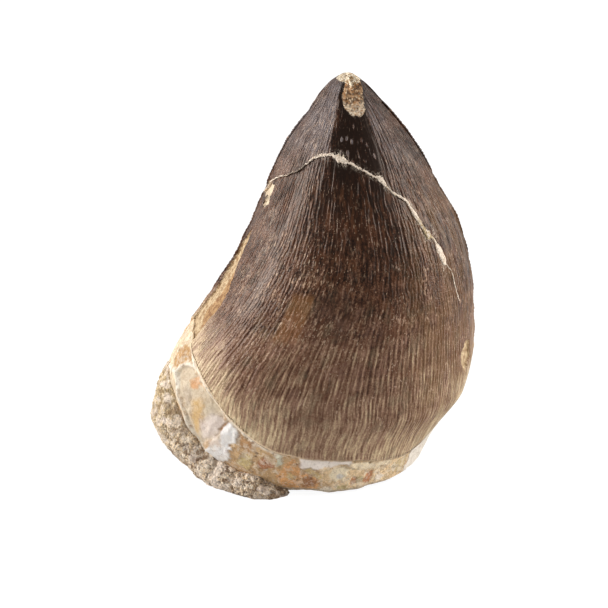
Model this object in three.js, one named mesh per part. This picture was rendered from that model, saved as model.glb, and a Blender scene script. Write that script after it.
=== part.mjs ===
// Fossil mosasaur tooth: a broad, gently hooked crown on the stub of its broken root, with a crust
// of sandstone still cemented to its lower left. It stands on the root's broken end.
// Millimetres, +Z up. The fuller face looks along -Y, and the two cutting edges lie on -X and +X.
// The group puts the origin on the surface that it stands on, under the middle of its bounding box.
import * as THREE from "three";

const RIGHT_ANGLE = Math.PI / 2;
const FULL_TURN = 2 * Math.PI;
const degrees = THREE.MathUtils.degToRad;
const clamp01 = (value) => THREE.MathUtils.clamp(value, 0, 1);

// ---- The tooth's form ------------------------------------------------------------------------

const TIP_HEIGHT = 48.7;
const DOME_HEIGHT = 47.3; // the worn tip rounds over from here up
const MIDDLE = { x: -0.25, y: -0.5 }; // middle of the bounding box, from the outlines' own axis

// [height, x] of the left and right outlines, seen from the front
const LEFT_EDGE = [
  [0, -11.9], [3, -15.4], [7, -17.6], [11.5, -18.1], [15, -16.8], [20, -13.4], [25, -10.1],
  [30, -7.6], [35, -5.5], [40, -3.2], [44, -0.5], [47.2, 1.7], [TIP_HEIGHT, 3.2],
];
const RIGHT_EDGE = [
  [0, 13.3], [3, 14.6], [6, 16.3], [10, 18.9], [15, 19.6], [21, 19.5], [26, 18.8], [31, 17.3],
  [36, 14.6], [40, 12.3], [44, 9.3], [47.2, 6.4], [TIP_HEIGHT, 5.2],
];
// [height, depth] of the front and back faces, from the line between the cutting edges
const FRONT_DEPTH = [
  [0, 12.9], [5, 13.8], [12, 14.2], [20, 13.4], [30, 10.9], [39, 6.8], [46.5, 2.6], [TIP_HEIGHT, 1.8],
];
const BACK_DEPTH = [
  [0, 11.6], [5, 12.9], [12, 13.2], [20, 12], [30, 9.2], [39, 5.8], [46.5, 2.4], [TIP_HEIGHT, 1.6],
];
// [height, y] of that line: the crown leans back a little towards its tip
const EDGE_LINE = [[0, 0], [20, 0], [TIP_HEIGHT, 2]];
const LENS_POWER = 1.06; // 1 is an ellipse; more draws the section to a point at both edges

// A smooth curve through [height, value] pairs that never swings past them (a monotone cubic).
function smoothThrough(knots, height) {
  const last = knots.length - 1;
  const at = THREE.MathUtils.clamp(height, knots[0][0], knots[last][0]);
  let i = 0;
  while (i < last - 1 && at >= knots[i + 1][0]) i++;
  const chord = (k) => (knots[k + 1][1] - knots[k][1]) / (knots[k + 1][0] - knots[k][0]);
  const slope = (k) => {
    if (k === 0) return chord(0);
    if (k === last) return chord(last - 1);
    const [before, after] = [chord(k - 1), chord(k)];
    return before * after <= 0 ? 0 : (2 * before * after) / (before + after);
  };
  const span = knots[i + 1][0] - knots[i][0];
  const t = (at - knots[i][0]) / span;
  return (
    (2 * t ** 3 - 3 * t ** 2 + 1) * knots[i][1] +
    (t ** 3 - 2 * t ** 2 + t) * span * slope(i) +
    (3 * t ** 2 - 2 * t ** 3) * knots[i + 1][1] +
    (t ** 3 - t ** 2) * span * slope(i + 1)
  );
}

// The point at this angle of the level section at this height, standing proud of the bare form by
// the given amount. The angle is counter-clockwise from +X, so the front face is at 270 degrees.
function formPoint(angle, height, proud) {
  const left = smoothThrough(LEFT_EDGE, height);
  const right = smoothThrough(RIGHT_EDGE, height);
  const dome = Math.sqrt(1 - clamp01((height - DOME_HEIGHT) / (TIP_HEIGHT - DOME_HEIGHT)) ** 2);
  const sine = Math.sin(angle);
  const depth = smoothThrough(sine < 0 ? FRONT_DEPTH : BACK_DEPTH, height);
  return new THREE.Vector3(
    (left + right) / 2 + ((right - left) / 2 + proud) * dome * Math.cos(angle),
    smoothThrough(EDGE_LINE, height) +
      (depth + proud) * dome * Math.sign(sine) * Math.abs(sine) ** LENS_POWER,
    height,
  );
}

// A closed skin over rings of equal length, shut by a fan to a point at each end.
function closedSkin(firstPoint, rings, lastPoint) {
  const around = rings[0].length;
  const points = [firstPoint, ...rings.flat(), lastPoint];
  const faces = [];
  for (let j = 0; j < around; j++) {
    const next = (j + 1) % around;
    faces.push(0, 1 + next, 1 + j);
    for (let i = 0; i + 1 < rings.length; i++) {
      const [low, high] = [1 + i * around, 1 + (i + 1) * around];
      faces.push(low + j, low + next, high + next, low + j, high + next, high + j);
    }
    const top = 1 + (rings.length - 1) * around;
    faces.push(top + j, top + next, points.length - 1);
  }
  return new THREE.BufferGeometry().setFromPoints(points).setIndex(faces);
}

// ---- Tooth: enamel crown and root stub, one grown piece -----------------------------------------

const COLUMNS = 128;
const CROWN_ROWS = 24;
const ROOT_ROWS = 6;
const ENAMEL = 0.35; // its thickness: the root is set back this far from the crown's surface
const EDGE_LEDGE = 0.3; // height of that step
const FINE_RIDGE = 0.12; // half the relief of the enamel's striations
const CUTTING_EDGE = 0.25; // how far each cutting edge stands out as a keel
const ROOT_CHAMFER = { height: 0.8, inset: 0.8 }; // the worn rim of the root's broken end
const COLUMN_DRIFT = degrees(13); // striations spread towards the cutting edges lower down

// [angle in degrees, height] of the enamel's edge: low on both faces and swept up to the cutting
// edges, most of all on the left
const ENAMEL_EDGE = [
  [0, 13.1], [8, 11.6], [16, 9], [26, 5.9], [42, 4.3], [75, 4.4], [104, 5.2], [125, 8.4],
  [150, 13.6], [168, 17.2], [180, 18.1], [191, 17.5], [210, 15.1], [226, 12.2], [236, 9.4],
  [248, 7.1], [260, 5.7], [276, 5], [295, 4.4], [316, 3.5], [328, 4.2], [338, 6.6], [346, 9.6],
  [353, 12], [360, 13.1],
];

// Places where the enamel is gone: centre and half spread, in degrees and millimetres. Between
// the enamel and the crust, the root's side is broken away to a shallow oval hollow.
const CHIPS = [
  { angle: 188, height: 23.5, halfAngle: 9, halfHeight: 7 }, // long strip beside the left edge
  { angle: 342, height: 14.6, halfAngle: 6, halfHeight: 2.6 }, // nick beside the right edge
];
const ROOT_HOLLOW = { angle: 219, height: 9.6, halfAngle: 13, halfHeight: 4.2, depth: 0.6 };

// The flat worn on the front of the tip: a point on it, and the way it faces
const WEAR_FLAT = new THREE.Plane().setFromNormalAndCoplanarPoint(
  new THREE.Vector3(0.14, -0.73, 0.67).normalize(),
  new THREE.Vector3(4.9, -1, 45.5),
);

function enamelEdgeHeight(angle) {
  return smoothThrough(ENAMEL_EDGE, THREE.MathUtils.radToDeg(angle));
}

// 0 at the middle of an oval place on the tooth's side, 1 on its rim, and more outside it
function ovalDistance(place, angle, height) {
  const across = (THREE.MathUtils.radToDeg(angle) - place.angle) / place.halfAngle;
  return Math.hypot(across, (height - place.height) / place.halfHeight);
}

// The share of the enamel's thickness that is left here: 0 in a chip, 1 away from all of them
function enamelLeft(angle, height) {
  const outside = CHIPS.map((chip) => ovalDistance(chip, angle, height));
  return THREE.MathUtils.smoothstep(Math.min(...outside), 0.75, 1.1);
}

function crownPoint(column, rise) {
  const spread = (column / COLUMNS) * FULL_TURN;
  const angle = spread - COLUMN_DRIFT * Math.sin(2 * spread) * (1 - rise) ** 2;
  const foot = enamelEdgeHeight(angle) + EDGE_LEDGE;
  const height = foot + (TIP_HEIGHT - foot) * rise;
  const onCuttingEdge = column % (COLUMNS / 2) === 0;
  const striation = (column % 2 ? -1 : 1) * FINE_RIDGE * clamp01(6 * rise) * clamp01(4 - 4 * rise);
  const relief = onCuttingEdge ? CUTTING_EDGE : striation;
  const point = formPoint(angle, height, relief - ENAMEL * (1 - enamelLeft(angle, height)));
  const above = WEAR_FLAT.distanceToPoint(point);
  return above > 0 ? point.addScaledVector(WEAR_FLAT.normal, -above) : point;
}

function rootPoint(column, rise) {
  const spread = (column / COLUMNS) * FULL_TURN;
  const angle = spread - COLUMN_DRIFT * Math.sin(2 * spread);
  const height = THREE.MathUtils.lerp(ROOT_CHAMFER.height, enamelEdgeHeight(angle), rise);
  const hollow = clamp01(1 - ovalDistance(ROOT_HOLLOW, angle, height) ** 2) * ROOT_HOLLOW.depth;
  return formPoint(angle, height, -ENAMEL - hollow);
}

function makeTooth() {
  const ring = (pointAt, rise) => Array.from({ length: COLUMNS }, (_, j) => pointAt(j, rise));
  const brokenEnd = Array.from({ length: COLUMNS }, (_, j) => {
    const point = rootPoint(j, 0);
    const inward = new THREE.Vector3(-point.x, -point.y, 0).setLength(ROOT_CHAMFER.inset);
    return point.add(inward).setZ(0);
  });
  const rings = [brokenEnd];
  for (let i = 0; i <= ROOT_ROWS; i++) rings.push(ring(rootPoint, i / ROOT_ROWS));
  for (let i = 0; i < CROWN_ROWS; i++) {
    // rows close up towards the tip, where the crown narrows fastest
    rings.push(ring(crownPoint, Math.sin((i / CROWN_ROWS) * RIGHT_ANGLE)));
  }
  return closedSkin(new THREE.Vector3(0, 0, 0), rings, crownPoint(1, 1));
}

// ---- Sandstone crust: cemented to the root's lower left, from the front round to the back ---------

const CRUST_GAP = 0.3; // clear of the root all over
const CRUST_START = 94; // degrees, at the back
const CRUST_END = 257; // degrees, on the front
const CRUST_COLUMNS = 40;
const CRUST_ROWS = 10;
// [angle in degrees, height] of its upper edge, and [angle, thickness] low on its outside
const CRUST_TOP = [
  [94, 0.6], [104, 4], [125, 7.5], [150, 11], [172, 12.4], [182, 12.2], [190, 11.4], [197, 9.8],
  [206, 7.2], [213, 4.9], [221, 3.9], [234, 2.9], [249, 1.8], [257, 0.6],
];
const CRUST_THICKNESS = [
  [94, 0.4], [110, 2], [150, 3.4], [180, 3.7], [215, 3.6], [235, 3.2], [248, 2.4], [257, 0.4],
];
const CRUST_LUMP = 0.35; // height of the lumps on its outside

function lump(angle, height) {
  return (
    Math.sin(9 * angle + 0.8 * height) * Math.cos(0.9 * height + 1.3) +
    0.6 * Math.sin(17 * angle - 1.4 * height + 2)
  );
}

// One upright slice of the crust: up its inside against the root, and down its bulging outside.
function crustSlice(angleDegrees) {
  const angle = degrees(angleDegrees);
  const top = smoothThrough(CRUST_TOP, angleDegrees);
  const thickness = smoothThrough(CRUST_THICKNESS, angleDegrees);
  const ends = clamp01(Math.min(angleDegrees - CRUST_START, CRUST_END - angleDegrees) / 15);
  const inner = CRUST_GAP - ENAMEL;
  const outside = [];
  const inside = [];
  for (let i = 0; i <= CRUST_ROWS; i++) {
    const down = i / CRUST_ROWS;
    const height = top * (1 - down);
    const bulge = Math.sin(down * RIGHT_ANGLE) ** 1.1;
    const proud = thickness * bulge + CRUST_LUMP * lump(angle, height) * bulge * ends;
    outside.push(formPoint(angle, height, inner + 0.3 + proud));
    inside.unshift(formPoint(angle, height, inner));
  }
  return [...inside, ...outside];
}

function makeCrust() {
  const slices = [];
  for (let i = 0; i <= CRUST_COLUMNS; i++) {
    slices.push(crustSlice(THREE.MathUtils.lerp(CRUST_START, CRUST_END, i / CRUST_COLUMNS)));
  }
  const middle = (slice) =>
    slice.reduce((sum, point) => sum.add(point), new THREE.Vector3()).divideScalar(slice.length);
  return closedSkin(middle(slices[0]), slices, middle(slices[CRUST_COLUMNS]));
}

// ---- The specimen --------------------------------------------------------------------------------

const enamel = new THREE.MeshStandardMaterial({ color: 0x6b5142, roughness: 0.38, metalness: 0 });
const sandstone = new THREE.MeshStandardMaterial({ color: 0xb49a82, roughness: 0.92, metalness: 0 });

const tooth = new THREE.Mesh(makeTooth(), enamel);
tooth.name = "tooth";

const crust = new THREE.Mesh(makeCrust(), sandstone);
crust.name = "matrix_crust";

const specimen = new THREE.Group();
specimen.position.set(-MIDDLE.x, -MIDDLE.y, 0);
specimen.add(tooth, crust);

export default specimen;
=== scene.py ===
# Fossil mosasaur tooth: an enamel crown on the stub of its broken root, with a crust of sandstone
# cemented to the root's lower left. Forms are worked out in millimetres, +Z up, in the frame of the
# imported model, and become metres where a mesh is made. The fuller face looks along -Y.
from math import cos, pi, radians, sin

import bpy
import numpy as np
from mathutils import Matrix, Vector


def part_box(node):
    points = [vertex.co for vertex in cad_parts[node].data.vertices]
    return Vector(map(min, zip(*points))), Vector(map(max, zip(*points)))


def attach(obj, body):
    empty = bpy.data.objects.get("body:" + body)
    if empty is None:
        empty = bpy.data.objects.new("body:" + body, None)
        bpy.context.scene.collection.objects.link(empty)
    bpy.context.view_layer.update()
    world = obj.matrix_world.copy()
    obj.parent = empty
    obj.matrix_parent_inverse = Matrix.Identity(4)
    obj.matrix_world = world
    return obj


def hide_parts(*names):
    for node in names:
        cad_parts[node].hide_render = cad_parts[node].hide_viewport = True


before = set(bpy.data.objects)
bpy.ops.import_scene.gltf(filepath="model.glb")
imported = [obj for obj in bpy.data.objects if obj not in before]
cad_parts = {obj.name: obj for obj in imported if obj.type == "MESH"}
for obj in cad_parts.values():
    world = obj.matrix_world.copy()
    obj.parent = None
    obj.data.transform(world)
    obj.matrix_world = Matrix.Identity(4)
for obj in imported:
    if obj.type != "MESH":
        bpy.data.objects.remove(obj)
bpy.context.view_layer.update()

MM = 0.001
BODY = "root"

# ---- Enamel crown ----------------------------------------------------------------------------
# The crown is a worn, satin-brown cone of enamel 0.35 mm thick, flattened from front to back and
# wrinkled into fine ridges that fan out from the tip. It was grown, not made: the form is a level
# section, drawn out to the two cutting edges, that changes with height as the outlines below say.

TIP_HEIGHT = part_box("tooth")[1].z / MM
DOME_HEIGHT = 47.3  # the worn tip rounds over from here up
AXIS = np.array([0.25, 0.5, 0.0])  # where the outlines' own axis stands in the model's frame
# [height, x] of the left and right outlines, seen from the front
LEFT_EDGE = [
    [0, -11.9], [3, -15.4], [7, -17.6], [11.5, -18.1], [15, -16.8], [20, -13.4], [25, -10.1],
    [30, -7.6], [35, -5.5], [40, -3.2], [44, -0.5], [47.2, 1.7], [TIP_HEIGHT, 3.2],
]
RIGHT_EDGE = [
    [0, 13.3], [3, 14.6], [6, 16.3], [10, 18.9], [15, 19.6], [21, 19.5], [26, 18.8], [31, 17.3],
    [36, 14.6], [40, 12.3], [44, 9.3], [47.2, 6.4], [TIP_HEIGHT, 5.2],
]
# [height, depth] of the front and back faces, from the line between the cutting edges
FRONT_DEPTH = [
    [0, 12.9], [5, 13.8], [12, 14.2], [20, 13.4], [30, 10.9], [39, 6.8], [46.5, 2.6], [TIP_HEIGHT, 1.8],
]
BACK_DEPTH = [
    [0, 11.6], [5, 12.9], [12, 13.2], [20, 12], [30, 9.2], [39, 5.8], [46.5, 2.4], [TIP_HEIGHT, 1.6],
]
EDGE_LINE = [[0, 0], [20, 0], [TIP_HEIGHT, 2]]  # [height, y] of the cutting edges
LENS_POWER = 1.06  # 1 is an ellipse; more draws the section to a point at both edges
# [angle in degrees, height] of the enamel's lower edge
ENAMEL_EDGE = [
    [0, 13.1], [8, 11.6], [16, 9], [26, 5.9], [42, 4.3], [75, 4.4], [104, 5.2], [125, 8.4],
    [150, 13.6], [168, 17.2], [180, 18.1], [191, 17.5], [210, 15.1], [226, 12.2], [236, 9.4],
    [248, 7.1], [260, 5.7], [276, 5], [295, 4.4], [316, 3.5], [328, 4.2], [338, 6.6], [346, 9.6],
    [353, 12], [360, 13.1],
]
ENAMEL = 0.35  # thickness
COLUMN_DRIFT = radians(13)  # the ridges spread towards the cutting edges lower down
COLUMNS = 960
FRONT_SHARE = 0.25  # how much closer together the columns stand on the fuller face
LOWER_ROWS = 95
UPPER_ROWS = 62


def smooth_through(knots, at):
    """A curve through [place, value] knots that never swings past them: on each span a cubic whose
    slope at a knot is the harmonic mean of the chords beside it, or 0 at a peak."""
    place, value = np.array(knots, float).T
    step = np.diff(place)
    chord = np.diff(value) / step
    before, after = chord[:-1], chord[1:]
    uphill = before * after > 0
    mean = 2 * before * after / np.where(uphill, before + after, 1)
    slope = np.concatenate([chord[:1], np.where(uphill, mean, 0), chord[-1:]])
    at = np.clip(at, place[0], place[-1])
    i = np.clip(np.searchsorted(place, at, side="right") - 1, 0, len(step) - 1)
    t = (at - place[i]) / step[i]
    return (
        (2 * t**3 - 3 * t**2 + 1) * value[i]
        + (t**3 - 2 * t**2 + t) * step[i] * slope[i]
        + (3 * t**2 - 2 * t**3) * value[i + 1]
        + (t**3 - t**2) * step[i] * slope[i + 1]
    )


def smooth_step(low, high, value):
    """0 on low's side and 1 on high's, with an S-shaped rise between. Low may be the larger."""
    t = np.clip((value - low) / (high - low), 0, 1)
    return t * t * (3 - 2 * t)


def smooth_within(value, begin, full, fade, end):
    """1 from full to fade, with an S-shaped fall to 0 at begin and at end."""
    return smooth_step(begin, full, value) * smooth_step(end, fade, value)


def half_widths(height):
    """The level section's middle, half its width, its depths to the front and the back, and the
    share of them that is left where the worn tip rounds over."""
    left, right = smooth_through(LEFT_EDGE, height), smooth_through(RIGHT_EDGE, height)
    fill = np.clip((height - DOME_HEIGHT) / (TIP_HEIGHT - DOME_HEIGHT), 0, 1)
    front, back = smooth_through(FRONT_DEPTH, height), smooth_through(BACK_DEPTH, height)
    return (left + right) / 2, (right - left) / 2, front, back, np.sqrt(1 - fill**2)


def form(angle, height, proud):
    """Points on the tooth's form: round a level section by angle, counter-clockwise from +X, whose
    half axes are the outline's half width and the face's depth, both grown by proud. The sine is
    raised to a power just over 1, which sharpens the section at the two cutting edges."""
    middle, half_width, front, back, dome = half_widths(height)
    sine = np.sin(angle)
    x = middle + (half_width + proud) * dome * np.cos(angle)
    depth = (np.where(sine < 0, front, back) + proud) * dome
    y = smooth_through(EDGE_LINE, height) + depth * np.sign(sine) * np.abs(sine) ** LENS_POWER
    return np.stack(np.broadcast_arrays(x, y, height), axis=-1) + AXIS


def noise(points, cell, seed):
    """A smooth random field from -1 to 1: random numbers on a cubic lattice with that cell size,
    blended between the eight corners round each point with an S-shaped weight."""
    table = np.random.default_rng(seed).uniform(-1, 1, (32, 32, 32))
    place = points / cell
    low = np.floor(place).astype(int)
    t = place - low
    t = t * t * (3 - 2 * t)
    total = np.zeros(points.shape[:-1])
    for corner in np.ndindex(2, 2, 2):
        i, j, k = np.moveaxis((low + corner) % 32, -1, 0)
        total += np.prod(np.where(corner, t, 1 - t), axis=-1) * table[i, j, k]
    return total


def noises(points, *scales):
    """A sum of random fields, each an (amount, cell size, seed)."""
    return sum(amount * noise(points, cell, seed) for amount, cell, seed in scales)


def grains(points, cell, seed):
    """Packed grains: each cell of a cubic lattice holds one centre at a random place in it. Gives the
    distance to the nearest centre, in cells, and a random value from 0 to 1 that is that grain's own."""
    table = np.random.default_rng(seed).uniform(0, 1, (32, 32, 32, 4))
    place = points / cell
    low = np.floor(place).astype(int)
    nearest = np.full(points.shape[:-1], 9.0)
    own_value = np.zeros(points.shape[:-1])
    for step in np.ndindex(3, 3, 3):
        corner = low + step - 1
        i, j, k = np.moveaxis(corner % 32, -1, 0)
        draw = table[i, j, k]
        distance = np.linalg.norm(corner + draw[..., :3] - place, axis=-1)
        own_value = np.where(distance < nearest, draw[..., 3], own_value)
        nearest = np.minimum(nearest, distance)
    return nearest, own_value


def oval(degrees, height, centre, half):
    """0 at the middle of an oval place on the tooth's side, 1 on its rim and more outside it. The
    centre and the half axes are an angle in degrees and a height."""
    return np.hypot((degrees - centre[0]) / half[0], (height - centre[1]) / half[1])


def closed_skin(name, rings):
    """A closed mesh over rings of points, each counter-clockwise seen from the last end, with a fan
    from the middle of the ring at each end. Quads join ring to ring, and the mesh is in metres."""
    rows, columns = rings.shape[:2]
    points = np.concatenate([[rings[0].mean(axis=0)], rings.reshape(-1, 3), [rings[-1].mean(axis=0)]]) * MM
    here = 1 + np.arange(rows * columns).reshape(rows, columns)
    beside = np.roll(here, -1, axis=1)
    quads = np.stack([here[:-1], beside[:-1], beside[1:], here[1:]], axis=-1).reshape(-1, 4)
    start = np.stack([np.zeros(columns, int), beside[0], here[0]], axis=-1)
    end = np.stack([here[-1], beside[-1], np.full(columns, len(points) - 1)], axis=-1)
    corners = np.concatenate([quads.ravel(), start.ravel(), end.ravel()])
    sides = np.concatenate([np.full(len(quads), 4), np.full(2 * columns, 3)])
    mesh = bpy.data.meshes.new(name)
    mesh.vertices.add(len(points))
    mesh.vertices.foreach_set("co", points.ravel())
    mesh.loops.add(len(corners))
    mesh.loops.foreach_set("vertex_index", corners)
    mesh.polygons.add(len(sides))
    mesh.polygons.foreach_set("loop_start", np.cumsum(sides) - sides)
    mesh.update(calc_edges=True)
    mesh.shade_smooth()
    piece = bpy.data.objects.new(name, mesh)
    bpy.context.scene.collection.objects.link(piece)
    return piece


def paint(piece, name, values):
    """Keeps a value for every point of a closed skin, with the mean of the end rings at the fans."""
    whole = np.concatenate([[values[0].mean()], values.ravel(), [values[-1].mean()]])
    attribute = piece.data.attributes.new(name, "FLOAT", "POINT")
    attribute.data.foreach_set("value", whole.astype(np.float32))


EDGE_DEGREE = 0.235  # millimetres of skin for a degree beside a cutting edge, where the section is narrow
FLOW_RADIUS = 16  # the crown's own, on the whole
RIDGE_PITCH = 0.44
RIDGE_HEIGHT = 0.032
KEEL_HEIGHT = 0.17
FACETS = [(184, 247, 0.34), (294, 356, 0.3)]  # from and to, in degrees, and how deep
# The worn flat at the tip: the way it faces, a point on it, and [height, half width] of its outline
WEAR_NORMAL = np.array([0.14, -0.73, 0.67]) / np.linalg.norm([0.14, -0.73, 0.67])
WEAR_POINT = AXIS + [4.9, -1.0, 45.5]
WEAR_HALF = [[44, 0.1], [44.6, 0.85], [45.4, 1.32], [46.4, 1.5], [47.4, 1.15], [48.7, 0.8]]
WORN_GRAIN = 0.42  # size of the open pores on the worn flat
CAP_MIDDLE = np.array([4.6, 2.0, 49.0])  # the very tip is worn through to cream
CAP_RADIUS = 1.75
# Where enamel has flaked off beside the left cutting edge: [height, angle] of the flake's two sides,
# and of the line between its ivory rim and its tan floor
FLAKE_TOP = 30.2
FLAKE_REAR = [
    [16, 178], [19.4, 182.6], [21.9, 183.8], [24.4, 181.8], [27, 181.2], [29, 185], [FLAKE_TOP, 190.5],
]
FLAKE_FRONT = [
    [16, 201], [19.6, 200], [20.7, 203], [22.8, 201.4], [25.2, 196.8], [27.5, 193.2], [29, 192.2],
    [FLAKE_TOP, 190.5],
]
FLAKE_RIM = [[16, 201], [18.3, 197.5], [19.2, 193], [19.9, 190.5], [22.2, 193.5], [24.9, 192], [30, 190]]
# Smaller flakes, as (centre, half axes): one by the right cutting edge and two below the crack
NICKS = [((341.5, 14.9), (5.4, 1.9)), ((188, 34.9), (10, 0.8)), ((195, 33.6), (4, 0.6))]
# Pale scuffs in the polished dark middle near the tip, and fainter ones on the facet to its right:
# [angle, height, strength]
SCUFFS = [
    [260.4, 42, 1.0], [265.8, 42.1, 0.9], [271.1, 41.8, 1.0], [276.5, 41.7, 0.4], [281.3, 41.9, 0.6],
    [286, 41.4, 0.6], [261.2, 40.7, 0.6], [266.8, 40.6, 1.0], [268, 40.0, 0.4], [271.1, 39.7, 0.5],
    [277.8, 40.3, 0.4], [281.6, 39.8, 0.5], [264, 43.7, 0.3], [273.8, 43.4, 0.35], [291, 40.2, 0.7],
    [312.6, 40.3, 0.3], [314.7, 39.7, 0.4], [321, 39.9, 0.3], [320.8, 39.2, 0.35], [314.2, 39.1, 0.3],
    [324.6, 38.6, 0.3], [308.9, 38.9, 0.25],
]
SCUFF_HALF = (1.5, 0.34)
# The sand-filled crack right round the crown: [angle, height] of its line, [angle, half width]
CRACK_LINE = [
    [0, 21], [60, 26], [100, 29.5], [140, 32], [165, 33.2], [182, 34.4], [191, 36], [212, 37.4],
    [221, 38.1], [227, 38.8], [235, 39.8], [241, 40.2], [251, 40.35], [262, 39.9], [270, 39.5],
    [283, 38.5], [291.5, 37.8], [299, 36.3], [307, 35.3], [311, 33.2], [314, 31.5], [319, 30.4],
    [322, 28], [328, 26.2], [330, 24], [332, 22.6], [360, 21],
]
CRACK_HALF = [
    [0, 0], [100, 0], [130, 0.04], [182, 0.07], [205, 0.05], [212, 0.02], [226, 0.01], [231, 0.07],
    [236, 0.13], [250, 0.14], [256, 0.2], [258.5, 0.42], [264, 0.36], [267, 0.14], [280, 0.14],
    [289, 0.18], [291, 0.36], [294, 0.32], [296, 0.14], [305, 0.13], [308.8, 0.16], [310.5, 0.34],
    [315, 0.44], [317, 0.15], [319.5, 0.13], [320.6, 0.48], [322.8, 0.48], [324.2, 0.06], [327, 0.04],
    [329, 0.07], [331, 0.08], [333, 0], [360, 0],
]
# How light the enamel is, from 0, black-brown, to 1, pale tan: [height, tone] at the left edge,
# on the left shoulder, down the middle, on the right shoulder and at the right edge. Above about
# 36 mm the tones also hold painted light: painted shade down the middle and painted sheen on the
# shoulders on either side of it.
TONE_LEFT = [
    [0, 0.78], [13, 0.75], [17, 0.69], [20, 0.5], [24, 0.26], [28, 0.14], [34, 0.16], [42, 0.24],
    [48, 0.18],
]
TONE_LEFT_SHOULDER = [
    [0, 0.88], [7, 0.79], [10, 0.69], [14, 0.56], [19, 0.46], [22, 0.39], [27, 0.34], [33, 0.14],
    [38, 0.17], [43, 0.35], [48, 0.3],
]
TONE_MIDDLE = [
    [0, 0.62], [5.5, 0.57], [7, 0.56], [10, 0.57], [14, 0.54], [19, 0.44], [21, 0.38], [25, 0.28],
    [30, 0.1], [36, -0.12], [42, -0.25], [48, -0.25],
]
TONE_RIGHT_SHOULDER = [
    [0, 0.8], [8, 0.74], [14, 0.64], [20, 0.5], [27, 0.22], [32, 0.06], [38, 0.08], [43, 0.2], [48, 0.2],
]
TONE_RIGHT = [
    [0, 0.94], [7, 0.92], [11, 0.84], [16, 0.66], [22, 0.36], [28, 0.12], [34, 0.05], [42, 0.08],
    [48, 0.08],
]
SHOULDER_LINE = [[20, 218], [25, 223], [30, 225], [35, 229], [39, 231]]  # [height, angle] of its crease
GROWTH_LINE = 20.7  # height of the dark line that marks a halt in growth, across the fuller face
# Two stained patches on the fuller face: centre, half axes, and how warm (or, below 0, how dark)
STAINS = [((247.5, 22.4), (5.5, 2.8), 1.0), ((262.5, 22.6), (9, 3.0), -0.7)]


def turns(count):
    """A full turn in that many even steps, in radians."""
    return np.arange(count) * 2 * pi / count


def flow(spread, height, stretch):
    """Points on a cylinder as big round as the crown, unrolled along the ridges: noise read there
    is drawn out along them by the stretch."""
    around = [FLOW_RADIUS * np.cos(spread), FLOW_RADIUS * np.sin(spread), height / stretch]
    return np.stack(np.broadcast_arrays(*around), axis=-1)


def up_axis(height):
    """Points on the upright axis, where noise depends on the height alone."""
    return np.stack([0 * height, 0 * height, height], axis=-1)


def flake_distance(angle, height):
    """Millimetres outside the flaked places beside the cutting edges, and less than 0 inside."""
    degrees = np.degrees(angle)
    rear, front = smooth_through(FLAKE_REAR, height), smooth_through(FLAKE_FRONT, height)
    outside = np.maximum(np.maximum(rear - degrees, degrees - front) * EDGE_DEGREE, height - FLAKE_TOP)
    ragged = 0.3 * noise(flow(angle, height, 1), 0.8, 41)
    for centre, half in NICKS:
        outside = np.minimum(outside, (oval(degrees, height, centre, half) - 1) * half[1] * 0.8 + ragged)
    return outside


def crack_height(angle):
    """The height of the crack's own ragged line."""
    ragged = noises(flow(angle, 0, 1), (0.09, 0.7, 15), (0.07, 0.3, 16))
    return smooth_through(CRACK_LINE, np.degrees(angle) % 360) + ragged


def crack_slope(angle):
    """How far the crack's line rises for a millimetre round the crown."""
    degrees = np.degrees(angle) % 360
    ahead, behind = smooth_through(CRACK_LINE, degrees + 0.5), smooth_through(CRACK_LINE, degrees - 0.5)
    return (ahead - behind) / EDGE_DEGREE


def facets(angle, height):
    """How far the upper crown lies in from its form: two flat facets beside the cutting edges of the
    fuller face meet its middle in blunt creases. Across each facet the depth is a parabola."""
    degrees = np.degrees(angle) % 360 + 2.5 * noise(flow(angle, height, 3), 1.2, 40)
    hollow = 0
    for begin, end, deep in FACETS:
        across = np.clip((degrees - begin) / (end - begin), 0, 1)
        hollow = hollow + 4 * deep * across * (1 - across)
    return hollow * smooth_step(27, 42, height) * smooth_step(TIP_HEIGHT, TIP_HEIGHT - 3, height)


def keel_height(angle, height):
    """How far the cutting edges stand out: worn to a wavy line, with small nicks."""
    place = np.stack(np.broadcast_arrays(4 * np.cos(angle), 0 * height, height), axis=-1)
    return KEEL_HEIGHT + noises(place, (0.09, 1.9, 37), (0.07, 0.7, 38))


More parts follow.
